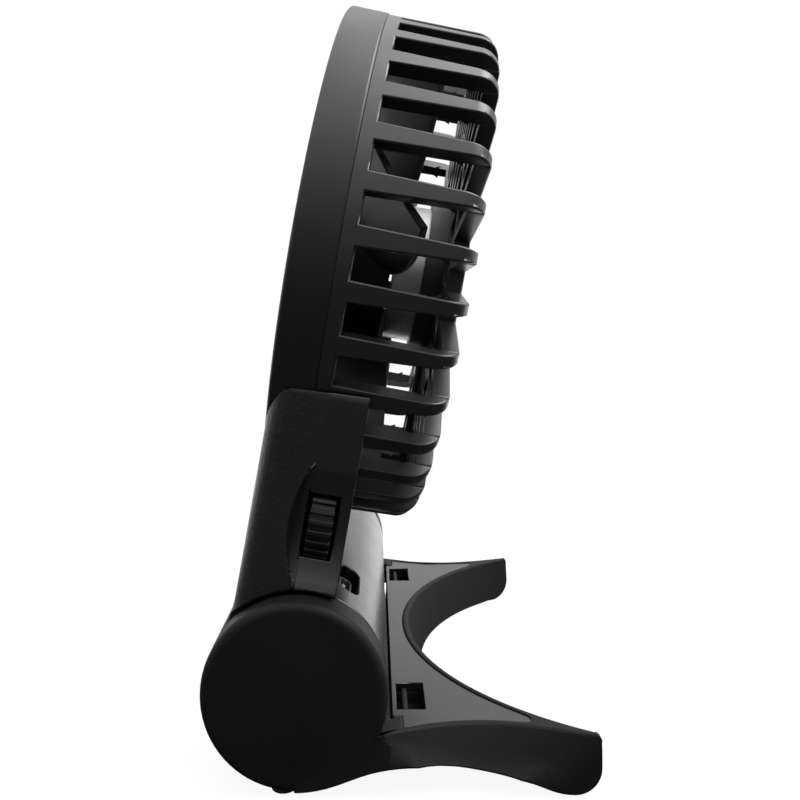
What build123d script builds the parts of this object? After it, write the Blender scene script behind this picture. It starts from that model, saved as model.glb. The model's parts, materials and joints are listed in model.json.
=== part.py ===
from build123d import *
import os
from math import cos, pi, radians, sin, sqrt, tan

# Folding desk fan: a forked foot, an arm hinged across it, and a round fan head held in the arm's cradle.
# Frame: +X to the rear of the fan, +Y along the hinge, +Z up.
# The origin lies on the ground under the middle of the foot.
# The arm and head are drawn upright about the hinge axis, in millimetres, and then leaned back.

# Stance
lean = 9.94
hinge_radius = 16.1
drum_pad_proud = 0.75
foot_reach = 52.4
hinge_height = hinge_radius + drum_pad_proud
hinge_x = (hinge_radius - foot_reach) / 2

# Fan head, measured along its own axis from the plane of the hinge
ring_radius = 55.8
ring_setback = 2.24
ring_depth = 8.36
ring_taper = 0.3
ring_wall = 3.6
ring_skirt = 1.4
ring_nose = 0.9
head_gap = 5.43
seam_step = 0.25
lap = 2.4
lap_fit = 0.05
grille_seat = 2.4
grille_ledge = 1.4
head_rise = hinge_radius + head_gap + ring_radius
ring_front = ring_setback - hinge_radius
seam = ring_front + ring_depth
seam_radius = ring_radius - ring_taper
ring_bore = ring_radius - ring_wall

# Rear basket
basket_depth = 23.7
basket_taper = 0.65
basket_wall = 3.2
basket_corner = 4.5
slot_count = 36
slot_turn_angle = -1.6
slot_set = 2.7
slot_front_share = 0.59
slot_rear_share = 0.74
slot_mid_share = 0.68
inner_slot_outer_share = 0.79
inner_slot_inner_share = 0.61
mid_ring_share = 0.61
mid_ring_width = 2.2
hub_ring_width = 3.5
cup_depth = 4.0
cup_wall = 1.5
basket_rear = seam + basket_depth
basket_front_radius = seam_radius - seam_step
basket_rear_radius = basket_front_radius - basket_taper
basket_inner_rear = basket_rear - basket_wall
slope = basket_taper / basket_depth
mid_ring_radius = mid_ring_share * basket_rear_radius
slot_front = seam + slot_set

# Front grille
grille_thick = 2.0
grille_rim = 1.6
spoke_count = 18
spoke_width = 1.3
grille_ring_shares = (0.83, 0.64, 0.46)
grille_ring_width = 1.2
grille_centre_radius = 16.0
grille_dome = 0.8

# Motor
motor_radius = 15.5
motor_gap = 0.8
motor_fit = 0.05
can_wall = 0.9
end_bell_thick = 2.4
magnet_thick = 1.5
magnet_inset = 1.4
magnet_gap = 0.5
motor_bush_radius = 2.6
shaft_radius = 1.0
shaft_fit = 0.03
shaft_front_gap = 1.2
shaft_rear_gap = 0.7
bell_front = basket_inner_rear - end_bell_thick
cup_radius = motor_radius + motor_fit

# Impeller
blade_count = 5
blade_gap = 2.0
blade_root_sunk = 1.2
blade_mid_share = 0.63
blade_root_chord = 17.0
blade_mid_chord = 29.0
blade_tip_chord = 38.0
blade_root_angle = 46.0
blade_mid_angle = 35.0
blade_tip_angle = 28.0
blade_root_camber = 2.2
blade_mid_camber = 3.0
blade_tip_camber = 2.6
blade_mid_sweep = 2.0
blade_tip_sweep = 7.0
blade_thick = 1.4
blade_set = 5.5
hub_skirt = 1.2
hub_front_set = 3.1
hub_rear_set = 9.5
hub_wall = 1.6
hub_nose = 2.6
hub_boss_radius = 3.2
blade_tip_radius = ring_bore - blade_gap
blade_mid_radius = blade_mid_share * blade_tip_radius
blade_middle = seam + blade_set
hub_front = seam - hub_front_set
hub_rear = seam + hub_rear_set
hub_radius = motor_radius + hub_skirt
blade_root_radius = hub_radius - blade_root_sunk
motor_front = hub_rear + motor_gap

# Motor lead
lead_radius = 0.6
lead_fit = 0.1
lead_bend = 1.5
lead_set = 4.5
lead_end_drop = 7.7
lead_exit = seam + lead_set

# Arm
arm_width_share = 0.887
arm_top_share = 0.411
arm_depth = 9.7
arm_wall = 2.0
arm_side_round = 4.0
arm_top_round = 2.5
arm_flare = 16.0
arm_step = 0.35
arm_seam_set = 2.3
cradle_fit = 0.1
cradle_wall = 1.3
knuckle_inset = 3.2
ear_gap = 0.6
screw_radius = 1.2
screw_head_radius = 2.2
screw_head_height = 1.4
screw_sunk = 0.6
screw_length = 11.0
screw_boss_wall = 1.2
screw_reach_shares = (0.535, 0.24)
screw_rises = (5.4, 3.4)
head_screw_rib = 2
head_screw_set = 2.0
head_screw_radius = 0.8
head_screw_head_radius = 1.6
head_screw_head_height = 1.0
head_screw_length = 3.6
arm_half_width = arm_width_share * ring_radius
arm_front = ring_front + arm_step
arm_rear = seam + arm_depth
arm_seam = seam + arm_seam_set
arm_top = head_rise - arm_top_share * ring_radius
knuckle_end = arm_half_width - knuckle_inset
head_screw_x = arm_seam + head_screw_set

# Speed dial in its finger scoop, with its control and circuit board
dial_radius = 7.6
dial_width = 4.4
dial_set = 4.8
dial_inset = 0.2
dial_rib_count = 24
dial_rib_depth = 0.6
dial_rib_share = 0.5
dial_gap = 0.5
scoop_half_length = 10.6
scoop_end_set = 7.8
scoop_depth = 2.6
scoop_wall = 1.3
spindle_radius = 1.6
spindle_fit = 0.04
spindle_depth = 1.8
control_half_width = 3.6
control_thick = 2.9
control_gap = 0.5
board_thick = 1.2
board_margin = 0.3
standoff_radius = 1.5
standoff_inset = 3.0
dial_x = seam + dial_set
dial_y = dial_inset + dial_radius - arm_half_width
dial_reach = basket_front_radius + cradle_fit + cradle_wall + dial_gap + dial_radius
dial_rise = head_rise - sqrt(dial_reach**2 - dial_y**2)
control_front = dial_x - dial_width / 2 - control_gap - control_thick
board_front = control_front - board_thick
board_half_width = control_half_width + board_margin
board_high = dial_rise + board_half_width
board_low = hinge_radius + ear_gap + arm_wall + board_margin

# Power inlet on the knuckle
inlet_angle = 23.5
inlet_inset = 14.6
inlet_length = 14.0
inlet_width = 4.4
inlet_depth = 4.2
inlet_wall = 1.3
socket_length = 8.0
socket_width = 2.8
socket_corner = 0.9
socket_height = 5.0
socket_wall = 0.4
socket_proud = 2.6
tongue_length = 5.2
tongue_thick = 0.7
inlet_y = inlet_inset - knuckle_end

# Hinge ears of the foot
ear_play = 0.5
ear_thick = 7.1
ear_dome = 0.6
ear_dome_share = 0.75
ear_round = 1.6
ear_inner = knuckle_end + ear_play
ear_edge = ear_inner + ear_thick
ear_outer = ear_edge + ear_dome

# Foot
foot_top = 10.3
bar_gap = 0.8
bar_width = 4.6
arch_reach_shares = (0.25, 0.41, 0.64, 0.78)
arch_heights = (4.0, 4.95, 3.55, 2.1)
skirt_inset = 2.8
toe_radius = 4.6
toe_crown = 1.0
toe_tuck = 0.3
toe_tip = 1.45
toe_pad_proud = 0.3
nest_draw = 3.3
waist_share = 0.618
waist_chord_share = 0.3435
waist_cut = 5.4
waist_draft_angle = 31.0
waist_lift = 0.4
bar_front = hinge_radius + bar_gap
toe_half_width = ear_edge - toe_tuck
toe_inner = toe_half_width - toe_tip
nest_start = bar_front + bar_width
nest_x = (foot_reach**2 + toe_inner**2 - nest_start**2) / (2 * (foot_reach - nest_start))
nest_radius = nest_x - nest_start
waist_half_width = ear_edge - waist_cut
waist_x = waist_share * foot_reach
waist_radius = ((waist_chord_share * foot_reach) ** 2 + waist_cut**2) / (2 * waist_cut)

# Cover plate let into the foot
plate_thick = 1.6
plate_sunk = 0.2
plate_rim = 1.3
plate_end_gap = 11.0
plate_inset = 2.9
plate_corner_share = 0.26
notch_length = 1.8
notch_inset = 1.2
window_set = 0.9
window_width = 5.2
window_inset = 2.6
window_length = 11.0
window_depth = 2.4
hook_thick = 1.1
hook_inset = 1.0
hook_sunk = 0.5
plate_end = foot_reach - plate_end_gap
plate_half_width = ear_edge - plate_inset
plate_nest_radius = nest_radius + plate_rim
plate_waist_radius = waist_radius + plate_rim
notch_x = bar_front + notch_length
notch_half_width = ear_inner - notch_inset
window_front = bar_front + window_set
window_rear = window_front + window_width
window_outer = notch_half_width - window_inset
window_inner = window_outer - window_length

# Hinge hardware
pin_radius = 3.0
pin_seat = 3.8
pin_length = 11.5
pin_fit = 0.05
bush_wall = 1.0
bush_length = 6.5
boss_radius = 5.2
washer_thick = 0.4
washer_outer = 9.0

# Rubber pads
pad_radius = 2.2
pad_depth = 1.0
drum_pad_x = -1.9
toe_pad_length = 4.4
toe_pad_width = 2.4
toe_pad_depth = 1.6

# Cuts run past the faces that they pierce by this much
overrun = 2.0

# Edges this near to a plane are taken as lying on it
edge_tolerance = 0.05


def block(x_low, x_high, y_low, y_high, z_low, z_high):
    """A box between two corners."""
    shape = Box(x_high - x_low, y_high - y_low, z_high - z_low)
    return Pos((x_low + x_high) / 2, (y_low + y_high) / 2, (z_low + z_high) / 2) * shape


def rod_along_x(radius, start, end):
    """A round bar on the X axis."""
    return Pos((start + end) / 2, 0, 0) * Rot(0, 90, 0) * Cylinder(radius, end - start)


def rod_along_y(radius, start, end):
    """A round bar on the Y axis."""
    return Pos(0, (start + end) / 2, 0) * Rot(90, 0, 0) * Cylinder(radius, end - start)


def post(radius, low, high):
    """A round bar on the Z axis."""
    return Pos(0, 0, (low + high) / 2) * Cylinder(radius, high - low)


def turned(points):
    """A body of revolution about the X axis, from (x, radius) points."""
    return revolve(Plane.XZ * make_face(Polyline(*points, close=True)), Axis.X)


def both_sides(shape):
    """A piece and its mirror image across the fan's middle plane."""
    return [shape, mirror(shape, Plane.XZ)]


def on_foot(shape):
    """Place a piece that was drawn with X measured from the hinge axis and Z from the ground."""
    return Pos(hinge_x, 0, 0) * shape


def on_arm(shape):
    """Place a piece that was drawn upright about the hinge axis."""
    return Pos(hinge_x, 0, hinge_height) * Rot(0, lean, 0) * shape


def on_head(shape):
    """Place a piece that was drawn about the fan's own axis."""
    return on_arm(Pos(0, 0, head_rise) * shape)


def basket_radius(x):
    """Outer radius of the tapering basket wall."""
    return basket_front_radius - slope * (x - seam)


# Foot
def ear():
    """One round hinge ear with a softened rim and a gently domed end."""
    rim = ear_edge - ear_round
    face_radius = hinge_radius - ear_round
    foot_line = Polyline((0, ear_inner), (hinge_radius, ear_inner), (hinge_radius, rim))
    corner = JernArc((hinge_radius, rim), (0, 1), ear_round, 90)
    middle = (face_radius / 2, ear_edge + ear_dome * ear_dome_share)
    dome = ThreePointArc((face_radius, ear_edge), middle, (0, ear_outer))
    axis_line = Line((0, ear_outer), (0, ear_inner))
    disc = revolve(make_face([foot_line, corner, dome, axis_line]), Axis.Y)
    return Pos(0, 0, hinge_height) * disc


def sole_profile(bottom):
    """Side outline of the fork above a given line of its underside, which ends at the toe."""
    toe = JernArc(bottom @ 1, (1, 0), toe_radius, 90)
    crown_start = (foot_reach, foot_top - toe_crown)
    rise = Line(toe @ 1, crown_start)
    crown = JernArc(crown_start, (0, 1), toe_crown, 90)
    closing = Polyline(crown @ 1, (0, foot_top), bottom @ 0)
    return Plane.XZ * make_face([bottom, toe, rise, crown, closing])


def sole():
    """The fork's blank: a flat sole between arched outer skirts, trimmed to the plan outline."""
    toe_start = (foot_reach - toe_radius, toe_pad_proud)
    arch_points = [(reach * foot_reach, height) for reach, height in zip(arch_reach_shares, arch_heights)]
    arch = Spline((0, drum_pad_proud), *arch_points, toe_start, tangents=[(1, 0), (1, 0)])
    flat = Line((0, toe_pad_proud), toe_start)
    skirt_inner = ear_inner - skirt_inset
    width = toe_half_width + overrun
    inside = block(-overrun, foot_reach + overrun, -skirt_inner, skirt_inner, -overrun, foot_top + overrun)
    blank = extrude(sole_profile(arch), width, both=True) - inside
    blank += extrude(sole_profile(flat), skirt_inner, both=True)
    half_plan = [(-overrun, 0), (-overrun, ear_edge), (hinge_radius, ear_edge)]
    half_plan += [(foot_reach, toe_half_width), (foot_reach, 0)]
    plan = make_face(Polyline(*half_plan, close=True))
    plan += mirror(plan, Plane.XZ)
    blank &= extrude(plan, foot_top + overrun)
    return blank - nest()


def nest_radius_at(height):
    """Radius of the sloping nest wall at a height over the ground."""
    return nest_radius - nest_draw * (foot_top - height) / foot_top


def nest():
    """Round opening that the folded fan head lies in, wider at the top."""
    low = -overrun
    high = foot_top + overrun
    tool = Cone(nest_radius_at(low), nest_radius_at(high), high - low)
    return Pos(nest_x, 0, (low + high) / 2) * tool


def waist():
    """The concave flank of one prong, leaning out towards the ground."""
    top = foot_top + waist_lift
    draft_share = tan(radians(waist_draft_angle))
    top_radius = waist_radius + waist_lift * draft_share
    bottom_radius = top_radius - (top + overrun) * draft_share
    tool = Cone(bottom_radius, top_radius, top + overrun)
    centre_y = -waist_half_width - waist_radius
    return Pos(waist_x, centre_y, (top - overrun) / 2) * tool


def plate_outline():
    """Plan of the cover plate, between the rims of the fork."""
    width = 2 * plate_half_width
    length = plate_end - bar_front
    outline = Pos(bar_front + length / 2, 0) * Rectangle(length, width)
    outline -= Pos(nest_x, 0) * Circle(plate_nest_radius)
    notch_width = plate_half_width - notch_half_width
    flank_y = waist_half_width + waist_radius
    for side in (1, -1):
        outline -= Pos(waist_x, side * flank_y) * Circle(plate_waist_radius)
        corner = Rectangle(notch_x - bar_front, notch_width)
        outline -= Pos((bar_front + notch_x) / 2, side * (notch_half_width + notch_width / 2)) * corner
    tip_outer = flank_y - sqrt(plate_waist_radius**2 - (plate_end - waist_x) ** 2)
    tip_inner = sqrt(plate_nest_radius**2 - (nest_x - plate_end) ** 2)
    tips = outline.vertices().group_by(Axis.X)[-1]
    return fillet(tips, plate_corner_share * (tip_outer - tip_inner))


def windows(bottom, top):
    """The two latch windows, as cutting blocks."""
    return both_sides(block(window_front, window_rear, window_inner, window_outer, bottom, top))


def foot_pins():
    """Stub pins seated in the ears."""
    start = ear_inner + pin_seat - pin_length
    pin = Pos(0, 0, hinge_height) * rod_along_y(pin_radius, start, ear_inner + pin_seat)
    return [mirror(pin, Plane.XZ), pin]


def drum_pad():
    """The small rubber stud under one ear."""
    middle = (ear_inner + ear_edge) / 2
    sink = hinge_radius - sqrt(hinge_radius**2 - (abs(drum_pad_x) + pad_radius) ** 2)
    return Pos(drum_pad_x, middle, 0) * post(pad_radius, 0, drum_pad_proud + sink + pad_depth)


def toe_pad():
    """The rubber strip under one prong end."""
    x_end = foot_reach - toe_radius
    inner = sqrt(nest_radius_at(0) ** 2 - (nest_x - x_end) ** 2)
    y_middle = (toe_half_width + inner) / 2
    half = toe_pad_width / 2
    return block(x_end - toe_pad_length, x_end, y_middle - half, y_middle + half, 0, toe_pad_depth)


def foot_base():
    plate_floor = foot_top - plate_sunk - plate_thick
    body = sole() - both_sides(waist())
    body -= block(-hinge_radius, bar_front, -ear_inner, ear_inner, -overrun, foot_top + overrun)
    pocket = Pos(0, 0, plate_floor) * extrude(plate_outline(), foot_top)
    body -= pocket
    body -= windows(plate_floor - window_depth, foot_top)
    hook_front = window_front + hook_inset
    hook_top = foot_top - plate_sunk - hook_sunk
    hook = block(hook_front, hook_front + hook_thick, window_inner + hook_inset,
                 window_outer - hook_inset, plate_floor - window_depth, hook_top)
    body += both_sides(hook)
    body += both_sides(ear())
    body -= foot_pins()
    body -= both_sides(drum_pad())
    body -= both_sides(toe_pad())
    return on_foot(body)


def foot_top_plate():
    plate = Pos(0, 0, foot_top - plate_sunk - plate_thick) * extrude(plate_outline(), plate_thick)
    plate -= windows(0, foot_top + overrun)
    return on_foot(plate)


def friction_washer():
    """Thin washer between an ear and the knuckle."""
    start = ear_inner - washer_thick
    ring = rod_along_y(washer_outer, start, ear_inner)
    ring -= rod_along_y(pin_radius, start - overrun, ear_inner + overrun)
    return Pos(0, 0, hinge_height) * ring


# Head
def front_ring():
    seat = ring_bore + grille_ledge
    inner_end = seam_radius - ring_skirt
    points = [(ring_front, ring_radius), (seam, seam_radius), (seam, inner_end), (seam - lap, inner_end),
              (seam - lap, ring_bore), (ring_front + grille_seat, ring_bore),
              (ring_front + grille_seat, seat), (ring_front, seat)]
    ring = turned(points)
    front_edges = ring.edges().filter_by(GeomType.CIRCLE).group_by(Axis.X)[0]
    ring = fillet(front_edges.sort_by(SortBy.RADIUS)[-1:], ring_nose)
    return on_head(ring)


def front_grille():
    outer = ring_bore + grille_ledge - lap_fit
    start = ring_front + grille_seat - grille_thick
    end = ring_front + grille_seat
    rim = rod_along_x(outer, start, end) - rod_along_x(outer - grille_rim, start - overrun, end + overrun)
    grille = rim
    for ring_share in grille_ring_shares:
        radius = ring_share * ring_bore
        inner = radius - grille_ring_width
        hoop = rod_along_x(radius, start, end) - rod_along_x(inner, start - overrun, end + overrun)
        grille += hoop
    half = spoke_width / 2
    reach = outer - grille_rim / 2
    for step in range(spoke_count):
        spoke = block(start, end, -half, half, grille_centre_radius - half, reach)
        grille += Rot(360 / spoke_count * step, 0, 0) * spoke
    dome_start = start - grille_dome
    dome_edge = grille_centre_radius - grille_dome
    face = [(end, 0), (end, grille_centre_radius), (start, grille_centre_radius), (dome_start, dome_edge),
            (dome_start, 0)]
    grille += turned(face)
    return on_head(grille)


def slot_width(radius, slot_share):
    """Width of a slot as a share of the ribs' pitch at a radius."""
    return slot_share * 2 * pi * radius / slot_count


def slot_side():
    """Cutting wedge for one slot in the basket's wall; it widens to the rear."""
    low = basket_rear_radius - basket_wall
    high = ring_radius + overrun
    end = basket_rear + overrun
    front = slot_width(basket_front_radius, slot_front_share) / 2
    rear = slot_width(basket_rear_radius, slot_rear_share) / 2
    face = make_face(Polyline((slot_front, -front), (end, -rear), (end, rear), (slot_front, front), close=True))
    return Pos(0, 0, low) * extrude(face, high - low)


def slot_face(outer, inner, outer_width, inner_width):
    """Cutting wedge for one slot in the basket's rear face."""
    points = [(-outer_width / 2, outer), (outer_width / 2, outer), (inner_width / 2, inner),
              (-inner_width / 2, inner)]
    face = Plane.YZ * make_face(Polyline(*points, close=True))
    depth = basket_wall + 2 * overrun
    return Pos(basket_inner_rear - overrun, 0, 0) * extrude(face, depth)


def lead_path(front_end_radius):
    """Route of the motor lead: down the rear rib, forward inside it, and out into the arm."""
    rear_x = basket_inner_rear - lead_radius
    rear_radius = basket_radius(rear_x) - basket_wall / 2
    exit_radius = basket_radius(lead_exit) - basket_wall / 2
    points = [(rear_x, 0, -motor_radius), (rear_x, 0, -rear_radius), (lead_exit, 0, -exit_radius),
              (lead_exit, 0, -front_end_radius)]
    return FilletPolyline(*points, radius=lead_bend)


def lead_tube(radius, front_end_radius):
    """A round lead, or the passage for it, along the route."""
    path = lead_path(front_end_radius)
    tube = sweep(Plane(path @ 0, z_dir=path % 0) * Circle(radius), path=path)
    return Rot(slot_turn_angle, 0, 0) * tube


def basket_blank():
    """The basket before its slots are cut: tapering wall, flat rear and motor cup."""
    spigot = seam_radius - ring_skirt - lap_fit
    inner_front = basket_front_radius - basket_wall
    inner_rear_radius = basket_rear_radius - basket_wall
    cup_front = basket_inner_rear - cup_depth
    points = [(seam, basket_front_radius), (basket_rear, basket_rear_radius), (basket_rear, 0),
              (basket_inner_rear, 0), (basket_inner_rear, cup_radius), (cup_front, cup_radius),
              (cup_front, cup_radius + cup_wall), (basket_inner_rear, cup_radius + cup_wall),
              (basket_inner_rear, inner_rear_radius), (seam, inner_front), (seam - lap + lap_fit, inner_front),
              (seam - lap + lap_fit, spigot), (seam, spigot)]
    shell = turned(points)
    rear_edges = shell.edges().filter_by(GeomType.CIRCLE).group_by(Axis.X)[-1]
    return fillet(rear_edges.sort_by(SortBy.RADIUS)[-1:], basket_corner)


def basket_slots():
    """Cutting wedges for all the slots of the basket."""
    pitch = 360 / slot_count
    wall_tool = slot_side()
    outer = basket_rear_radius - basket_wall + overrun / 2
    hoop_inner = mid_ring_radius - mid_ring_width
    hub = cup_radius + cup_wall + hub_ring_width
    face_tool = slot_face(outer, mid_ring_radius, slot_width(outer, slot_rear_share),
                          slot_width(mid_ring_radius, slot_mid_share))
    inner_tool = slot_face(hoop_inner, hub, 2 * slot_width(hoop_inner, inner_slot_outer_share),
                           2 * slot_width(hub, inner_slot_inner_share))
    tools = []
    for step in range(slot_count):
        turn = Rot(pitch * (step + 1 / 2) + slot_turn_angle, 0, 0)
        tools.append(turn * wall_tool)
        tools.append(turn * face_tool)
    for step in range(slot_count // 2):
        tools.append(Rot(2 * pitch * (step + 1 / 2) + slot_turn_angle, 0, 0) * inner_tool)
    return tools


def baskets():
    """The ribbed wall of the basket and its slotted rear face, parted at the face's inner plane."""
    shell = basket_blank() - basket_slots()
    shell -= lead_tube(lead_radius + lead_fit, ring_radius + overrun)
    shell -= head_screws_upright()
    cup_space = rod_along_x(cup_radius + cup_wall + hub_ring_width, seam, basket_inner_rear)
    reach = ring_radius + overrun
    rear_space = block(basket_inner_rear, basket_rear + overrun, -reach, reach, -reach, reach)
    face_space = cup_space + rear_space
    return on_head(shell - face_space), on_head(shell & face_space)


def head_screws_upright():
    """Screws from inside the arm into the basket's band, about the head's axis."""
    floor = basket_radius(head_screw_x) + cradle_fit + cradle_wall
    shank = post(head_screw_radius, floor - head_screw_length, floor)
    cap = post(head_screw_head_radius, floor, floor + head_screw_head_height)
    screw = Pos(head_screw_x, 0, 0) * (shank + cap)
    turn = head_screw_rib * 360 / slot_count
    return [Rot(180 + slot_turn_angle + side * turn, 0, 0) * screw for side in (1, -1)]


# Impeller and motor
def blade_section(radius, chord, turn, camber, sweep_back):
    """One cambered blade section on the plane square to the blade's radius."""
    half = chord / 2
    low = ThreePointArc((-half, 0), (0, camber), (half, 0))
    high = ThreePointArc((half, blade_thick), (0, camber + blade_thick), (-half, blade_thick))
    ends = [Line((half, 0), (half, blade_thick)), Line((-half, blade_thick), (-half, 0))]
    section = make_face([low, ends[0], high, ends[1]])
    place = Plane(origin=(blade_middle, sweep_back, radius), x_dir=(0, 1, 0), z_dir=(0, 0, 1))
    return place * Rot(0, 0, turn) * section


def impeller():
    tip_plane = blade_tip_radius + overrun
    sections = [
        blade_section(blade_root_radius, blade_root_chord, blade_root_angle, blade_root_camber, 0),
        blade_section(blade_mid_radius, blade_mid_chord, blade_mid_angle, blade_mid_camber, blade_mid_sweep),
        blade_section(tip_plane, blade_tip_chord, blade_tip_angle, blade_tip_camber, blade_tip_sweep),
    ]
    start = hub_front - blade_tip_chord
    end = hub_rear + blade_tip_chord
    blade = loft(sections) & rod_along_x(blade_tip_radius, start, end)
    blade -= rod_along_x(hub_radius - hub_wall / 2, start, end)
    inner = hub_radius - hub_wall
    points = [(hub_front, 0), (hub_front, hub_radius), (hub_rear, hub_radius), (hub_rear, inner),
              (hub_front + hub_wall, inner), (hub_front + hub_wall, hub_boss_radius),
              (hub_rear, hub_boss_radius), (hub_rear, 0)]
    hub = turned(points)
    nose = hub.edges().filter_by(GeomType.CIRCLE).group_by(Axis.X)[0]
    hub = fillet(nose, hub_nose)
    wheel = hub
    for step in range(blade_count):
        wheel += Rot(360 / blade_count * step, 0, 0) * blade
    wheel -= rod_along_x(shaft_radius, hub_front + shaft_front_gap, hub_rear + overrun)
    return on_head(wheel)


def motor_shaft():
    return on_head(rod_along_x(shaft_radius, hub_front + shaft_front_gap, basket_inner_rear - shaft_rear_gap))


def motor_can():
    inner = motor_radius - can_wall
    points = [(motor_front, motor_bush_radius), (motor_front, motor_radius), (bell_front, motor_radius),
              (bell_front, inner), (motor_front + can_wall, inner), (motor_front + can_wall, motor_bush_radius)]
    return on_head(turned(points))


def motor_end_bell():
    points = [(bell_front, motor_bush_radius), (bell_front, motor_radius), (basket_inner_rear, motor_radius),
              (basket_inner_rear, motor_bush_radius)]
    return on_head(turned(points))


def motor_bush(start, end):
    """Plain bearing for the motor shaft."""
    bore = rod_along_x(shaft_radius + shaft_fit, start - overrun, end + overrun)
    return on_head(rod_along_x(motor_bush_radius, start, end) - bore)


def magnet_span():
    """Front and rear ends of the magnet ring."""
    front = motor_front + can_wall + magnet_inset
    return front, bell_front - magnet_inset


def motor_magnet():
    front, rear = magnet_span()
    outer = motor_radius - can_wall
    inner = outer - magnet_thick
    return on_head(rod_along_x(outer, front, rear) - rod_along_x(inner, front - overrun, rear + overrun))


def motor_armature():
    front, rear = magnet_span()
    radius = motor_radius - can_wall - magnet_thick - magnet_gap
    core = rod_along_x(radius, front, rear) - rod_along_x(shaft_radius, front - overrun, rear + overrun)
    return on_head(core)


def motor_lead():
    return on_head(lead_tube(lead_radius, ring_radius + lead_end_drop))


# Arm
def arm_profile():
    """Side outline of the arm: a flat-faced slab that flares into the round knuckle."""
    slab = Pos((arm_front + arm_rear) / 2, arm_top / 2) * Rectangle(arm_rear - arm_front, arm_top)
    outline = slab + Circle(hinge_radius)
    meet = Vector(arm_front, sqrt(hinge_radius**2 - arm_front**2))
    corner = outline.vertices().sort_by_distance(meet)[0]
    outline = fillet(corner, arm_flare)
    top_front = outline.vertices().sort_by_distance(Vector(arm_front, arm_top))[0]
    return fillet(top_front, arm_top_round)


def head_envelope(grow):
    """Space of the ring and basket, opened at the front, grown by a clearance or a wall."""
    front = ring_front - overrun
    rear = basket_rear + overrun
    points = [(front, 0), (front, ring_radius + grow), (ring_front, ring_radius + grow),
              (seam, seam_radius + grow), (rear, basket_radius(rear) + grow), (rear, 0)]
    return Pos(0, 0, head_rise) * turned(points)


def scoop(grow):
    """Finger scoop round the speed dial: a shallow trough with a rounded front end."""
    trough_radius = (scoop_half_length**2 + scoop_depth**2) / (2 * scoop_depth)
    reach = trough_radius + grow
    axis_gap = trough_radius - scoop_depth
    half = sqrt(reach**2 - axis_gap**2)
    front = arm_rear - scoop_end_set
    trough = Pos(0, -axis_gap, 0) * rod_along_x(reach, front, arm_rear + overrun)
    bow = ThreePointArc((0, -half), (-scoop_depth - grow, 0), (0, half))
    end = revolve(Plane.XZ * make_face([bow, Line((0, half), (0, -half))]), Axis.Z)
    return Pos(0, -arm_half_width, dial_rise) * (trough + Pos(front, 0, 0) * end)


def screw_axes():
    """Places of the screws that draw the two arm shells together."""
    places = zip(screw_reach_shares, screw_rises)
    return [(side * reach * arm_half_width, hinge_radius + rise) for reach, rise in places for side in (1, -1)]


def arm_screw(y, z):
    """Screw from the rear shell into the front shell."""
    head_top = arm_rear - screw_sunk
    head_floor = head_top - screw_head_height
    shank = rod_along_x(screw_radius, head_top - screw_length, head_floor)
    cap = rod_along_x(screw_head_radius, head_floor, head_top)
    return Pos(0, y, z) * (shank + cap)


def arm_solid():
    """Outer form of the arm before it is hollowed and split."""
    profile = Plane.XZ * arm_profile()
    body = extrude(profile, arm_half_width, both=True)
    front_sides = [edge for edge in body.edges().filter_by(GeomType.LINE)
                   if abs(abs(edge.center().Y) - arm_half_width) < edge_tolerance
                   and abs(edge.center().X - arm_front) < edge_tolerance]
    body = fillet(front_sides, arm_side_round)
    body -= both_sides(rod_along_y(hinge_radius + ear_gap, knuckle_end, arm_half_width + overrun))
    body -= head_envelope(cradle_fit)
    return body - scoop(0)


def arm_cavity():
    """Hollow inside the arm, clear of the cradle, the ears, the scoop and the screw bosses."""
    inner = Plane.XZ * offset(arm_profile(), -arm_wall)
    hollow = extrude(inner, arm_half_width - arm_wall, both=True)
    hollow -= head_envelope(cradle_fit + cradle_wall)
    clear = hinge_radius + ear_gap + arm_wall
    hollow -= both_sides(rod_along_y(clear, knuckle_end - arm_wall, arm_half_width + overrun))
    hollow -= scoop(scoop_wall)
    for y, z in screw_axes():
        hollow -= Pos(0, y, z) * rod_along_x(screw_head_radius + screw_boss_wall, arm_front, arm_rear)
    return hollow


def inlet_plane(radius):
    """Plane square to the inlet's own axis, at a distance from the hinge axis."""
    out = Vector(sin(radians(inlet_angle)), 0, cos(radians(inlet_angle)))
    origin = out * radius + Vector(0, inlet_y, 0)
    return Plane(origin=origin, x_dir=(0, 1, 0), z_dir=out)


def inlet_pad():
    """Walls and floor of the inlet inside the knuckle."""
    low = hinge_radius - inlet_depth - inlet_wall
    outline = SlotOverall(inlet_length + 2 * inlet_wall, inlet_width + 2 * inlet_wall)
    return extrude(inlet_plane(low) * outline, hinge_radius - arm_wall / 2 - low)


def inlet_recess():
    """Oval opening of the inlet."""
    low = hinge_radius - inlet_depth
    return extrude(inlet_plane(low) * SlotOverall(inlet_length, inlet_width), inlet_depth + overrun)


def socket_base():
    """Distance of the socket's inner end from the hinge axis."""
    return hinge_radius - inlet_depth + socket_proud - socket_height


def socket_block():
    """Outer form of the socket's metal shell."""
    outline = RectangleRounded(socket_length, socket_width, socket_corner)
    return extrude(inlet_plane(socket_base()) * outline, socket_height)


def knuckle_bosses():
    """Bearing bosses inside the two ends of the knuckle."""
    start = knuckle_end - bush_length
    return both_sides(rod_along_y(boss_radius, start, knuckle_end))


def bush_bores():
    """Bores for the hinge bushes."""
    start = knuckle_end - bush_length
    return both_sides(rod_along_y(pin_radius + bush_wall, start - overrun, knuckle_end + overrun))


def standoffs():
    """Posts in the front shell that the circuit board stands on."""
    bar = rod_along_x(standoff_radius, arm_front + arm_wall / 2, board_front)
    return [Pos(0, dial_y, z) * bar for z in (board_low + standoff_inset, board_high - standoff_inset)]


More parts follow.
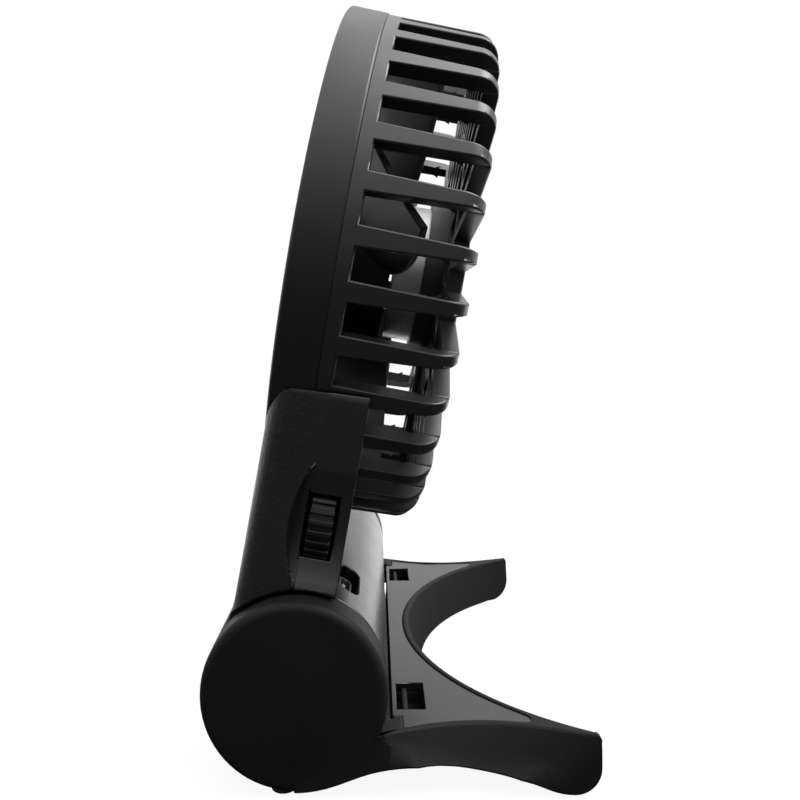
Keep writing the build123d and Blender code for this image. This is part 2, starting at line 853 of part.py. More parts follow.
def dial_opening():
    """Slot in the scoop that the dial stands out of."""
    half = dial_width / 2 + dial_gap
    tool = rod_along_x(dial_radius + dial_gap, dial_x - half, dial_x + half)
    return Pos(0, dial_y, dial_rise) * tool


def shells():
    """Front and rear shells of the arm; the rear one carries the knuckle's bearing bosses."""
    body = arm_solid() - arm_cavity()
    size = arm_top + hinge_radius + overrun
    width = arm_half_width + overrun
    front_half = block(-size, arm_seam, -width, width, -size, size)
    rear_half = block(arm_seam, size, -width, width, -size, size)
    front = (body & front_half) + standoffs() - knuckle_bosses()
    rear = (body & rear_half) + inlet_pad() + knuckle_bosses()
    rear -= inlet_recess()
    rear -= socket_block()
    rear -= bush_bores()
    opening = dial_opening()
    screws = [arm_screw(y, z) for y, z in screw_axes()]
    head_holes = [Pos(0, 0, head_rise) * screw for screw in head_screws_upright()]
    lead_hole = Pos(0, 0, head_rise) * lead_tube(lead_radius + lead_fit, ring_radius + lead_end_drop + overrun)
    access = [Pos(0, y, z) * rod_along_x(screw_head_radius, arm_rear - screw_sunk, arm_rear + overrun)
              for y, z in screw_axes()]
    front = front - opening - screws
    rear = rear - opening - screws - access - head_holes - lead_hole
    return on_arm(front), on_arm(rear)


def hinge_bush():
    start = knuckle_end - bush_length
    sleeve = rod_along_y(pin_radius + bush_wall, start, knuckle_end)
    return sleeve - rod_along_y(pin_radius + pin_fit, start - overrun, knuckle_end + overrun)


def power_socket():
    inner = inlet_plane(socket_base() + socket_wall)
    outline = RectangleRounded(socket_length - 2 * socket_wall, socket_width - 2 * socket_wall,
                               socket_corner - socket_wall)
    return on_arm(socket_block() - extrude(inner * outline, socket_height))


def socket_tongue():
    floor = socket_base() + socket_wall
    outline = Rectangle(tongue_length, tongue_thick)
    return on_arm(extrude(inlet_plane(floor) * outline, socket_height - socket_wall - tongue_thick))


def control_board():
    board = block(board_front, control_front, dial_y - board_half_width, dial_y + board_half_width, board_low,
                  board_high)
    return on_arm(board)


def speed_control():
    """Rotary control that the dial turns."""
    half = control_half_width
    body = block(control_front, control_front + control_thick, -half, half, -half, half)
    bore_end = control_front + control_thick
    bore_start = bore_end - spindle_depth - control_gap
    body -= rod_along_x(spindle_radius + spindle_fit, bore_start, bore_end + overrun)
    return on_arm(Pos(0, dial_y, dial_rise) * body)


def speed_dial():
    start = dial_x - dial_width / 2
    end = dial_x + dial_width / 2
    wheel = rod_along_x(dial_radius, start, end)
    pitch = 2 * pi * dial_radius / dial_rib_count
    half = pitch * (1 - dial_rib_share) / 2
    floor = dial_radius - dial_rib_depth
    groove = block(start - overrun, end + overrun, -half, half, floor, dial_radius + overrun)
    wheel -= [Rot(360 / dial_rib_count * step, 0, 0) * groove for step in range(dial_rib_count)]
    wheel += rod_along_x(spindle_radius, start - control_gap - spindle_depth, start)
    return on_arm(Pos(0, dial_y, dial_rise) * wheel)


front_shell, rear_shell = shells()
band_of_basket, face_of_basket = baskets()
pin_near, pin_far = foot_pins()

parts = {
    "foot_base": foot_base(),
    "foot_top_plate": foot_top_plate(),
    "hinge_pin_near": on_foot(pin_near),
    "hinge_pin_far": on_foot(pin_far),
    "friction_washers": [on_foot(piece) for piece in both_sides(friction_washer())],
    "drum_pads": [on_foot(piece) for piece in both_sides(drum_pad())],
    "toe_pads": [on_foot(piece) for piece in both_sides(toe_pad())],
    "arm_front_shell": front_shell,
    "arm_rear_shell": rear_shell,
    "hinge_bushes": [on_arm(piece) for piece in both_sides(hinge_bush())],
    "arm_screws": [on_arm(arm_screw(y, z)) for y, z in screw_axes()],
    "power_socket": power_socket(),
    "socket_tongue": socket_tongue(),
    "control_board": control_board(),
    "speed_control": speed_control(),
    "speed_dial": speed_dial(),
    "front_ring": front_ring(),
    "front_grille": front_grille(),
    "basket_band": band_of_basket,
    "basket_face": face_of_basket,
    "head_screws": [on_head(screw) for screw in head_screws_upright()],
    "motor_can": motor_can(),
    "motor_magnet": motor_magnet(),
    "motor_end_bell": motor_end_bell(),
    "front_bearing": motor_bush(motor_front, motor_front + can_wall),
    "rear_bearing": motor_bush(bell_front, basket_inner_rear),
    "motor_lead": motor_lead(),
    "motor_shaft": motor_shaft(),
    "motor_armature": motor_armature(),
    "impeller": impeller(),
}

os.makedirs("parts", exist_ok=True)
for name, shape in parts.items():
    pieces = shape if isinstance(shape, list) else [shape]
    solids = [solid for piece in pieces for solid in piece.solids()]
    whole = solids[0] if len(solids) == 1 else Compound(solids)
    export_step(whole, os.path.join("parts", name + ".step"))
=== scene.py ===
# %% [markdown]
# # A folding desk fan, dressed for its portrait
#
# The fan has three main parts: a forked foot with two round ears, a wide arm that turns between the ears, and
# a caged fan head that is fixed in the arm's cradle. The measured solids arrive as a fixed frame. This lesson
# gives them the rounded edges and moulded finishes of real black plastic, and lights them as in a product
# studio.

# %% Load the measured frame
import json
from math import radians

import bmesh
import bpy
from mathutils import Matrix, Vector


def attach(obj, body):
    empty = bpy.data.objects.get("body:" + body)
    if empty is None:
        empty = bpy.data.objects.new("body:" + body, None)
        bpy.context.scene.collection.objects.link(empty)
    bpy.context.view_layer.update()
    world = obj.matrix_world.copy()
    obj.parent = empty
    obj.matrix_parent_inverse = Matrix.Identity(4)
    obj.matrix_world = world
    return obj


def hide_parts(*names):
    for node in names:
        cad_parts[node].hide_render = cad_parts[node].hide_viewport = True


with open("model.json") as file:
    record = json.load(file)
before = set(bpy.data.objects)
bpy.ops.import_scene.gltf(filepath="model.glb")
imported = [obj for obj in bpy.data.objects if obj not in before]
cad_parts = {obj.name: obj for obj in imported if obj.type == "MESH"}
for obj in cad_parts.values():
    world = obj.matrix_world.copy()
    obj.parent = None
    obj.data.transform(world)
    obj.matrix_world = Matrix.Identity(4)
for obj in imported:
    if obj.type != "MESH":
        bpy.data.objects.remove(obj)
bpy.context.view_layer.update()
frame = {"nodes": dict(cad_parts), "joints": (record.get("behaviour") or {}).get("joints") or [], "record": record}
nodes = frame["nodes"]
scene = bpy.context.scene
MM = 0.001

# %% [markdown]
# ## Camera
#
# The fan was photographed from its side, close up, at the height of the fan head's lower half. A close camera
# makes the near ear large and the far prong small. The optical axis misses the middle of the picture, as it
# does when a picture is cropped, so the camera's shift moves the frame and leaves the perspective alone.

# %% Camera at the photograph's place
IMAGE_PIXELS = 800
FOCAL_PIXELS = 839.0
AXIS_PIXEL = (375.0, 319.0)
SENSOR_WIDTH = 36.0
CAMERA_PLACE = (-4.35 * MM, -195.5 * MM, 81.0 * MM)
LEVEL_TILT = radians(90)
NEAREST_SEEN = 1 * MM
camera_data = bpy.data.cameras.new("portrait_camera")
camera_data.sensor_width = SENSOR_WIDTH
camera_data.lens = FOCAL_PIXELS / IMAGE_PIXELS * SENSOR_WIDTH
camera_data.shift_x = (IMAGE_PIXELS / 2 - AXIS_PIXEL[0]) / IMAGE_PIXELS
camera_data.shift_y = (AXIS_PIXEL[1] - IMAGE_PIXELS / 2) / IMAGE_PIXELS
camera_data.clip_start = NEAREST_SEEN
camera = bpy.data.objects.new("portrait_camera", camera_data)
camera.location = CAMERA_PLACE
camera.rotation_euler = (LEVEL_TILT, 0, 0)
scene.collection.objects.link(camera)
scene.camera = camera
print("camera lens", round(camera_data.lens, 3))

# %% [markdown]
# ## Studio
#
# Black plastic has little colour of its own: what we see on it is mostly the room, mirrored weakly. The real
# fan stood before a bright white backdrop under a broad soft box, and the room behind the camera was dark,
# darkest near the floor. A second, smaller light high on the rear side leaves the bright sparks on the ribs'
# corners. Lamps could be aimed for each of these, but a world that changes with direction gives all of them
# at once and lights every side of the fan smoothly. The camera sees plain white everywhere, and mirrored rays
# see white where the backdrop stands.

# %% Helpers for shader nodes
WHITE = (1, 1, 1, 1)


def add_node(tree, kind, **inputs):
    """Add a shader node and set its named inputs."""
    node = tree.nodes.new(kind)
    for name, value in inputs.items():
        node.inputs[name.replace("_", " ")].default_value = value
    return node


def link(tree, out_socket, in_socket):
    tree.links.new(out_socket, in_socket)


def calculate(tree, operation, *values):
    """A Math node whose inputs are sockets or numbers; gives its output socket."""
    node = tree.nodes.new("ShaderNodeMath")
    node.operation = operation
    for place, value in enumerate(values):
        if isinstance(value, (int, float)):
            node.inputs[place].default_value = value
        else:
            link(tree, value, node.inputs[place])
    return node.outputs[0]


def stretch(tree, value, low, high, new_low=0.0, new_high=1.0):
    """Map one range of values onto another; gives the output socket."""
    limits = {"From_Min": low, "From_Max": high, "To_Min": new_low, "To_Max": new_high}
    node = add_node(tree, "ShaderNodeMapRange", **limits)
    link(tree, value, node.inputs["Value"])
    return node.outputs["Result"]


def mix_shaders(tree, share, first, second):
    """Blend two shaders by a share between 0 and 1; gives the output socket."""
    node = add_node(tree, "ShaderNodeMixShader")
    for place, socket in enumerate((share, first, second)):
        link(tree, socket, node.inputs[place])
    return node.outputs[0]


# %% World: soft box overhead, white backdrop behind, dark room in front
# Each pair is a direction's height, from 0 straight down to 1 straight up, and the room's brightness there.
ROOM_LEVELS = ((0.0, 0.01), (0.30, 0.03), (0.45, 0.12), (0.62, 0.36), (0.80, 1.0), (0.92, 1.9), (1.0, 2.2))
# The backdrop fades in between two directions towards the back.
BACKDROP_EDGE = (-0.35, 0.3)
# Mirrored rays lose sight of it between two directions upwards.
BACKDROP_TOP = (0.5, 0.7)
SIDE_LIGHT_TOWARDS = (0.6, 0.05, 0.8)
SIDE_LIGHT_EDGE = (0.90, 0.98)
SIDE_LIGHT_LEVEL = 7.0


def room_level(tree, height):
    """The room's brightness, which grows from the floor to the soft box overhead."""
    ramp = add_node(tree, "ShaderNodeValToRGB")
    while len(ramp.color_ramp.elements) < len(ROOM_LEVELS):
        ramp.color_ramp.elements.new(1.0)
    for element, (place, level) in zip(ramp.color_ramp.elements, ROOM_LEVELS):
        element.position = place
        element.color = (level, level, level, 1)
    link(tree, stretch(tree, height, -1.0, 1.0), ramp.inputs["Fac"])
    return ramp.outputs["Color"]


def side_light(tree, direction):
    """A round light that fills only the directions close to its own."""
    towards = add_node(tree, "ShaderNodeVectorMath")
    towards.operation = "DOT_PRODUCT"
    link(tree, direction, towards.inputs[0])
    towards.inputs[1].default_value = Vector(SIDE_LIGHT_TOWARDS).normalized()
    return stretch(tree, towards.outputs["Value"], *SIDE_LIGHT_EDGE, 0.0, SIDE_LIGHT_LEVEL)


def studio_world():
    """A world that lights the fan as a room and shows the camera plain white."""
    world = bpy.data.worlds.new("studio_world")
    world.use_nodes = True
    tree = world.node_tree
    tree.nodes.clear()
    out = add_node(tree, "ShaderNodeOutputWorld")
    seen_white = add_node(tree, "ShaderNodeBackground", Color=WHITE, Strength=1.0)
    room = add_node(tree, "ShaderNodeBackground", Strength=1.0)
    rays = add_node(tree, "ShaderNodeLightPath")
    direction = add_node(tree, "ShaderNodeTexCoord").outputs["Generated"]
    split = add_node(tree, "ShaderNodeSeparateXYZ")
    link(tree, direction, split.inputs["Vector"])
    backdrop = stretch(tree, split.outputs["Y"], *BACKDROP_EDGE)
    level = calculate(tree, "MAXIMUM", room_level(tree, split.outputs["Z"]), backdrop)
    link(tree, calculate(tree, "ADD", level, side_light(tree, direction)), room.inputs["Color"])
    mirrored_kinds = [rays.outputs[kind] for kind in ("Is Glossy Ray", "Is Transmission Ray")]
    mirrored = calculate(tree, "MAXIMUM", *mirrored_kinds)
    below_top = stretch(tree, split.outputs["Z"], *BACKDROP_TOP, 1.0, 0.0)
    low_backdrop = calculate(tree, "MULTIPLY", backdrop, below_top)
    shown = calculate(tree, "MULTIPLY", mirrored, low_backdrop)
    white_share = calculate(tree, "MAXIMUM", rays.outputs["Is Camera Ray"], shown)
    chosen = mix_shaders(tree, white_share, room.outputs[0], seen_white.outputs[0])
    link(tree, chosen, out.inputs["Surface"])
    return world


scene.view_settings.view_transform = "Standard"
scene.world = studio_world()
print("world levels", len(ROOM_LEVELS))

# %% [markdown]
# ## Floor
#
# The paper under the fan is white and runs out into the backdrop with no visible edge. The camera sees it as
# plain white, with a faint share of real light and shade near the fan and full shade in the narrow strip
# under the hinge. Light that bounces off the fan meets paper with painted light and shade in its colour:
# bright behind the fan, painted dark in front of it, where the room was unlit.

# %% White paper floor
FLOOR_SIZE = 4000 * MM
PAPER_TONE = 0.95
# Painted shade: the paper that bounced light meets turns from a dark tone in front to a bright one behind, between
# two places along Y.
PAINTED_SHADE_TONES = (0.05, 0.8)
PAINTED_SHADE_EDGE = (60 * MM, 120 * MM)
SHADOW_SHARE = 0.08
SHADOW_REACH = 200 * MM
STRIP_MIDDLES = (-7 * MM, 12 * MM)
STRIP_REACHES = (11 * MM, 48 * MM)
STRIP_SOFTNESS = 2 * MM


def shade_share(tree, place, split):
    """How much real light and shade the camera sees: faint near the fan, full under the hinge."""
    distance = add_node(tree, "ShaderNodeVectorMath")
    distance.operation = "LENGTH"
    link(tree, place, distance.inputs[0])
    faded = stretch(tree, distance.outputs["Value"], SHADOW_REACH / 2, SHADOW_REACH, SHADOW_SHARE, 0.0)
    strip = 1.0
    for axis, middle, reach in zip("XY", STRIP_MIDDLES, STRIP_REACHES):
        off_middle = calculate(tree, "ABSOLUTE", calculate(tree, "SUBTRACT", split.outputs[axis], middle))
        inside = stretch(tree, off_middle, reach, reach + STRIP_SOFTNESS, 1.0, 0.0)
        strip = calculate(tree, "MULTIPLY", strip, inside)
    return calculate(tree, "MAXIMUM", faded, strip)


def white_paper():
    """Paper that glows white to the camera, and to all other rays is lit paper with painted shade, dark in front.
    """
    paper = bpy.data.materials.new("white_paper")
    paper.use_nodes = True
    tree = paper.node_tree
    tree.nodes.clear()
    out = add_node(tree, "ShaderNodeOutputMaterial")
    lit = add_node(tree, "ShaderNodeBsdfDiffuse", Color=(PAPER_TONE, PAPER_TONE, PAPER_TONE, 1))
    shade_painted_paper = add_node(tree, "ShaderNodeBsdfDiffuse")
    glow = add_node(tree, "ShaderNodeEmission", Color=WHITE, Strength=1.0)
    rays = add_node(tree, "ShaderNodeLightPath")
    place = add_node(tree, "ShaderNodeTexCoord").outputs["Object"]
    split = add_node(tree, "ShaderNodeSeparateXYZ")
    link(tree, place, split.inputs["Vector"])
    # Painted shade: the paper's colour for bounced light is dark in front of the fan and bright behind it.
    link(tree, stretch(tree, split.outputs["Y"], *PAINTED_SHADE_EDGE, *PAINTED_SHADE_TONES), shade_painted_paper.inputs["Color"])
    seen = mix_shaders(tree, shade_share(tree, place, split), glow.outputs[0], lit.outputs[0])
    chosen = mix_shaders(tree, rays.outputs["Is Camera Ray"], shade_painted_paper.outputs[0], seen)
    link(tree, chosen, out.inputs["Surface"])
    return paper


bm = bmesh.new()
bmesh.ops.create_grid(bm, x_segments=1, y_segments=1, size=FLOOR_SIZE / 2)
floor_mesh = bpy.data.meshes.new("paper_floor")
bm.to_mesh(floor_mesh)
bm.free()
floor = bpy.data.objects.new("paper_floor", floor_mesh)
scene.collection.objects.link(floor)
floor_mesh.materials.append(white_paper())
print("floor", FLOOR_SIZE, "m")

# %% [markdown]
# ## Moulded skin
#
# Every black shell here is injection-moulded, and real mouldings are never one flat colour: the tone drifts
# a little, the gloss is uneven, and a fine spark-eroded grain breaks up the reflections. The arm's front
# cover has a coarser, leather-like pebble. One node group holds these effects, and each finish sets its own
# amounts.

# %% Node group for moulded plastic
DRIFT_SCALE = 70.0
DRIFT_DETAIL = 4.0
DRIFT_MIDDLE = 0.5
DRIFT_RANGE = (0.3, 0.7)
TONE_SHARES = (0.82, 1.18)
GRAIN_DETAIL = 2.0
SKIN_SOCKETS = {
    "INPUT": ("Color", "Roughness", "Unevenness", "Grain Scale", "Pebble Share"),
    "OUTPUT": ("Color", "Roughness", "Height"),
}


def moulded_skin_group():
    """Tone drift, gloss drift and surface grain of a moulding."""
    group = bpy.data.node_groups.new("moulded_skin", "ShaderNodeTree")
    for side, names in SKIN_SOCKETS.items():
        for name in names:
            kind = "NodeSocketColor" if name == "Color" else "NodeSocketFloat"
            group.interface.new_socket(name, in_out=side, socket_type=kind)
    entry = add_node(group, "NodeGroupInput")
    leave = add_node(group, "NodeGroupOutput")
    coords = add_node(group, "ShaderNodeTexCoord")
    drift = add_node(group, "ShaderNodeTexNoise", Scale=DRIFT_SCALE, Detail=DRIFT_DETAIL)
    grain = add_node(group, "ShaderNodeTexNoise", Detail=GRAIN_DETAIL)
    pebble = add_node(group, "ShaderNodeTexVoronoi")
    pebble.feature = "SMOOTH_F1"
    for texture in (drift, grain, pebble):
        link(group, coords.outputs["Object"], texture.inputs["Vector"])
    for texture in (grain, pebble):
        link(group, entry.outputs["Grain Scale"], texture.inputs["Scale"])
    tint = add_node(group, "ShaderNodeVectorMath")
    tint.operation = "SCALE"
    link(group, entry.outputs["Color"], tint.inputs[0])
    link(group, stretch(group, drift.outputs["Fac"], *DRIFT_RANGE, *TONE_SHARES), tint.inputs["Scale"])
    link(group, tint.outputs["Vector"], leave.inputs["Color"])
    centred = calculate(group, "SUBTRACT", drift.outputs["Fac"], DRIFT_MIDDLE)
    uneven = calculate(group, "MULTIPLY", centred, entry.outputs["Unevenness"])
    link(group, calculate(group, "ADD", uneven, entry.outputs["Roughness"]), leave.inputs["Roughness"])
    height = add_node(group, "ShaderNodeMix")
    link(group, entry.outputs["Pebble Share"], height.inputs["Factor"])
    link(group, grain.outputs["Fac"], height.inputs["A"])
    link(group, pebble.outputs["Distance"], height.inputs["B"])
    link(group, height.outputs["Result"], leave.inputs["Height"])
    return group


moulded_skin = moulded_skin_group()
print("group", moulded_skin.name)

# %% [markdown]
# ## Finishes
#
# The mould gives each black piece its sheen. The foot is soft and matt, its cover plate and the arm's rear
# shell are polished, the arm's front cover is grained like leather, and the head lies between. Blades and
# dial are duller than the head, and the rubber pads are roughest. What isn't black is inside or small: steel
# pins and screws, bronze bearings, a green circuit board. Each finish could be built by itself, but all of
# them follow one recipe, so a row of a table is enough for each.

# %% Finishes of the fan
BLACK = (0.008, 0.008, 0.0083)
RUBBER = (0.014, 0.014, 0.014)
BARE_METALS = ("steel", "bronze")
# Colour, roughness, its unevenness, grains per metre, their depth in millimetres, pebble share, gloss.
LOOKS = {
    "soft_black": (BLACK, 0.55, 0.15, 3000, 0.004, 0.0, 0.14),
    "smooth_black": (BLACK, 0.28, 0.1, 4000, 0.002, 0.0, 0.65),
    "grained_black": (BLACK, 0.38, 0.12, 1500, 0.05, 0.8, 0.5),
    "head_black": (BLACK, 0.38, 0.12, 3000, 0.003, 0.0, 0.5),
    "rib_black": (BLACK, 0.34, 0.12, 3000, 0.003, 0.0, 0.7),
    "blade_black": (BLACK, 0.45, 0.1, 3000, 0.002, 0.0, 0.3),
    "dial_black": (BLACK, 0.36, 0.12, 3000, 0.003, 0.0, 0.25),
    "rubber_black": (RUBBER, 0.8, 0.1, 2500, 0.01, 0.0, 0.5),
    "inner_plastic": ((0.03, 0.03, 0.031), 0.5, 0.1, 2500, 0.004, 0.0, 0.5),
    "lead_black": (RUBBER, 0.55, 0.1, 2500, 0.004, 0.0, 0.5),
    "magnet_grey": ((0.09, 0.09, 0.095), 0.6, 0.2, 1800, 0.01, 0.0, 0.5),
    "board_green": ((0.02, 0.09, 0.04), 0.3, 0.1, 900, 0.01, 0.0, 0.5),
    "socket_metal": ((0.06, 0.06, 0.062), 0.4, 0.2, 1500, 0.002, 0.0, 0.5),
    "tongue_grey": ((0.3, 0.3, 0.3), 0.45, 0.1, 2500, 0.004, 0.0, 0.5),
    "steel": ((0.55, 0.55, 0.56), 0.32, 0.2, 1500, 0.002, 0.0, 0.5),
    "bronze": ((0.5, 0.32, 0.14), 0.4, 0.2, 1500, 0.004, 0.0, 0.5),
}


def moulded_finish(name, color, roughness, unevenness, grain_scale, grain_depth, pebble_share, gloss):
    """A moulded or metal skin with its own gloss and grain."""
    material = bpy.data.materials.new(name)
    material.use_nodes = True
    tree = material.node_tree
    shader = tree.nodes["Principled BSDF"]
    shader.inputs["Specular IOR Level"].default_value = gloss
    shader.inputs["Metallic"].default_value = 1.0 if name in BARE_METALS else 0.0
    skin = tree.nodes.new("ShaderNodeGroup")
    skin.node_tree = moulded_skin
    skin.inputs["Color"].default_value = (*color, 1)
    skin.inputs["Roughness"].default_value = roughness
    skin.inputs["Unevenness"].default_value = unevenness
    skin.inputs["Grain Scale"].default_value = grain_scale
    skin.inputs["Pebble Share"].default_value = pebble_share
    bump = add_node(tree, "ShaderNodeBump", Strength=1.0, Distance=grain_depth * MM)
    link(tree, skin.outputs["Color"], shader.inputs["Base Color"])
    link(tree, skin.outputs["Roughness"], shader.inputs["Roughness"])
    link(tree, skin.outputs["Height"], bump.inputs["Height"])
    link(tree, bump.outputs["Normal"], shader.inputs["Normal"])
    return material


finish = {name: moulded_finish(name, *look) for name, look in LOOKS.items()}
print("finishes", len(finish))

# %% [markdown]
# ## Finishes on the solids
#
# The measured solids carry the names of their finishes, so one loop puts every finish where it belongs. Only
# four pieces differ: the socket is dull metal with a grey tongue, and the basket's wall and rear face shine a
# little more than the ring. The pieces inside the motor and the arm keep their solids.

# %% Put each finish on its solids
OWN_FINISHES = {
    "power_socket": "socket_metal",
    "socket_tongue": "tongue_grey",
    "basket_band": "rib_black",
    "basket_face": "rib_black",
}
slot_of = {item["node"]: item["material_slot"] for item in frame["record"]["subparts"]}
finish_of = {name: finish[OWN_FINISHES.get(name, slot)] for name, slot in slot_of.items()}
for name, piece in nodes.items():
    piece.data.materials.clear()
    piece.data.materials.append(finish_of[name])
print("solids finished", len(nodes))

# %% [markdown]
# ## Rounded edges
#
# A mould can't make a perfectly sharp edge, and the eye knows it: every real corner carries a thin line of
# light. A shader could fake that line, but it would be lost on export, so the edges get true rounds. Each
# outer solid is copied, its loose triangles are welded and its flat faces joined up again, and the convex
# edges that turn sharply are marked for a Bevel modifier. A Weighted Normal modifier then keeps the broad
# faces looking flat.

# %% Rounded copies of the outer solids
WELD = 0.002 * MM
SMALL_STEP = 0.12 * MM
FLAT_ANGLE = radians(0.4)
EDGE_ANGLE = radians(28)
bodies = frame["record"]["behaviour"]["bodies"]
body_of = {node: body for body, members in bodies.items() for node in members}


def rounded(name, node, width, segments, share_of=None, cleared=None, reshape=None, soft=None):
    """A copy of a solid with rounded convex edges.

    share_of gives an edge its own share of the width, cleared picks the points where small steps are closed,
    reshape changes the copy before its edges are marked, and soft picks edges that stay as they are.
    """
    bm = bmesh.new()
    bm.from_mesh(nodes[node].data)
    bmesh.ops.remove_doubles(bm, verts=bm.verts, dist=WELD)
    if cleared:
        close_points = [point for point in bm.verts if cleared(point.co)]
        bmesh.ops.remove_doubles(bm, verts=close_points, dist=SMALL_STEP)
    bmesh.ops.dissolve_limit(bm, angle_limit=FLAT_ANGLE, verts=bm.verts, edges=bm.edges)
    if reshape:
        reshape(bm)
    weight = bm.edges.layers.float.new("bevel_weight_edge")
    for edge in bm.edges:
        turns = len(edge.link_faces) == 2 and edge.calc_face_angle() > EDGE_ANGLE
        if turns and soft:
            turns = not soft(edge)
        edge.smooth = not turns
        if turns and edge.is_convex:
            edge[weight] = share_of(edge) if share_of else 1.0
    for face in bm.faces:
        face.smooth = True
    mesh = bpy.data.meshes.new(name)
    bm.to_mesh(mesh)
    bm.free()
    mesh.materials.append(finish_of[node])
    piece = bpy.data.objects.new(name, mesh)
    scene.collection.objects.link(piece)
    bevel = piece.modifiers.new("rounded_edges", "BEVEL")
    bevel.limit_method = "WEIGHT"
    bevel.width = width
    bevel.segments = segments
    bevel.use_clamp_overlap = False
    normals = piece.modifiers.new("flat_faces", "WEIGHTED_NORMAL")
    normals.keep_sharp = True
    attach(piece, body_of[node])
    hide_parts(node)
    return piece


# %% [markdown]
# ## Where solids touch
#
# Neighbours that meet flush keep their shared edges sharp: rounding both would cut a false groove along the
# joint. The arm's two shells part in a plane square to the fan's axis, and so do the ring, the basket's
# ribbed wall and its slotted rear face.

# %% Planes between touching solids
# Beyond this radius, the basket's rear face starts at its parting plane; its middle reaches further forward.
FACE_REACH = 45 * MM
# Above this height, the rear shell starts at its parting plane; its lower end reaches further forward.
SLAB_LOW = 60 * MM
PLANE_PLAY = 0.01 * MM
spin = next(joint for joint in frame["joints"] if joint["name"] == "fan_spin")
head_middle = Vector(spin["pos_m"])
head_axis = Vector(spin["axis"])


def along_head(point):
    """Distance of a point behind the head's middle, along the fan's axis."""
    return (point - head_middle).dot(head_axis)


def off_axis(point):
    """Distance of a point from the fan's axis."""
    return (point - head_middle).cross(head_axis).length


def points_of(node):
    return [point.co for point in nodes[node].data.vertices]


def lies_in(edge, *planes):
    """Whether an edge lies in one of the planes square to the fan's axis."""
    return any(all(abs(along_head(v.co) - plane) < PLANE_PLAY for v in edge.verts) for plane in planes)


parting = min(along_head(point) for point in points_of("basket_face") if off_axis(point) > FACE_REACH)
seam = max(along_head(point) for point in points_of("front_ring"))
arm_parting = min(along_head(point) for point in points_of("arm_rear_shell") if point.z > SLAB_LOW)
print("touching planes", [round(plane / MM, 2) for plane in (seam, parting, arm_parting)])


def shell_share(edge):
    """No round where the arm's shells meet."""
    return 0.0 if lies_in(edge, arm_parting) else 1.0


# %% [markdown]
# ## Soft flanks of the foot
#
# Each prong's outer side has a shallow hollow, which on the real foot runs out into the flat side with no
# visible edge. The skin round the hollow is cut into small triangles, and each point near the edge moves
# inwards by a smooth minimum of the two surfaces: deepest on the edge itself, nothing at a few millimetres
# from it.

# %% Hollow that runs out softly
FOOT_ROUND = 0.4 * MM
FLANK_BLEND = 5.0 * MM
FLANK_GRAIN = 2.0 * MM
FLANK_CUTS = 5
FLANK_FADE = 3.0 * MM
OUTWARD_SHARE = 0.5
ARCH_TOP = Vector((3.0, 5.0)) * MM
ARCH_FALL = 0.135
HOLLOW_MIDDLE = 14.2 * MM
HOLLOW_RADIUS = 32.0 * MM
HOLLOW_TOP = 10.3 * MM
HOLLOW_INNERMOST = 48.5 * MM
HOLLOW_SLOPE = 0.6
SIDE_START = Vector((-3.8, 53.9)) * MM
SIDE_END = Vector((31.8, 53.6)) * MM


def behind_ears(point):
    return point.x > SIDE_START.x


def on_flank(face):
    """Whether a face belongs to the outer side of a prong, behind the ear."""
    middle = face.calc_center_median()
    outward = face.normal.y * (1 if middle.y > 0 else -1)
    in_reach = abs(middle.y) > HOLLOW_INNERMOST and middle.z < HOLLOW_TOP
    return outward > OUTWARD_SHARE and in_reach and behind_ears(middle)


def within_flank(edge):
    return all(on_flank(face) for face in edge.link_faces)


def flank_faces(bm):
    return [face for face in bm.faces if on_flank(face)]


def softened_by(place):
    """How far a point of a flank moves inwards: most between hollow and side, not at all below the arch."""
    along = (place.x - SIDE_START.x) / (SIDE_END.x - SIDE_START.x)
    side = SIDE_START.y + along * (SIDE_END.y - SIDE_START.y)
    radius = HOLLOW_RADIUS - (HOLLOW_TOP - place.z) * HOLLOW_SLOPE
    off_middle = min(abs(place.x - HOLLOW_MIDDLE), radius)
    hollow = HOLLOW_INNERMOST + HOLLOW_RADIUS - (radius**2 - off_middle**2) ** 0.5
    nearness = max(FLANK_BLEND - abs(side - hollow), 0.0) / FLANK_BLEND
    arch = ARCH_TOP.y - (place.x - ARCH_TOP.x) * ARCH_FALL
    over_arch = min(max((place.z - arch) / FLANK_FADE, 0.0), 1.0)
    return FLANK_BLEND / 4 * nearness**2 * over_arch


def soften_flanks(bm):
    """Round the edge between each prong's hollow and its flat side."""
    for _ in range(FLANK_CUTS):
        bm.normal_update()
        bmesh.ops.triangulate(bm, faces=flank_faces(bm))
        flank_edges = {edge for face in flank_faces(bm) for edge in face.edges}
        long_edges = [edge for edge in bm.edges if edge in flank_edges and edge.calc_length() > FLANK_GRAIN]
        bmesh.ops.subdivide_edges(bm, edges=long_edges, cuts=1)
    bm.normal_update()
    for point in {point for face in flank_faces(bm) for point in face.verts}:
        inwards = softened_by(point.co)
        point.co.y -= inwards if point.co.y > 0 else -inwards


def long_share(edge):
    """No round for the shortest edges, which couldn't hold it."""
    return 1.0 if edge.calc_length() > FOOT_ROUND else 0.0


# %% [markdown]
# ## The ring's front
#
# The ring's front edge is rounded in its solid already, so it gets no second round. But the round's triangles
# are long and thin, and where neighbours lean different ways, the light would show nicks. A finer skin would
# hide them. Turning the triangles' shared edges until the skin bends as little as it can does so as well, and
# leaves every point in its place.

# %% Even round on the ring
ROUND_STEP = radians(60)
RING_NOSE = 1.2 * MM
ring_front = min(along_head(point) for point in points_of("front_ring"))


def in_a_round(edge):
    """Whether an edge is only a step of a round that the solid already has."""
    return edge.calc_face_angle(ROUND_STEP) < ROUND_STEP


def on_nose(face):
    return along_head(face.calc_center_median()) < ring_front + RING_NOSE


def nose_faces(bm):
    return [face for face in bm.faces if on_nose(face)]


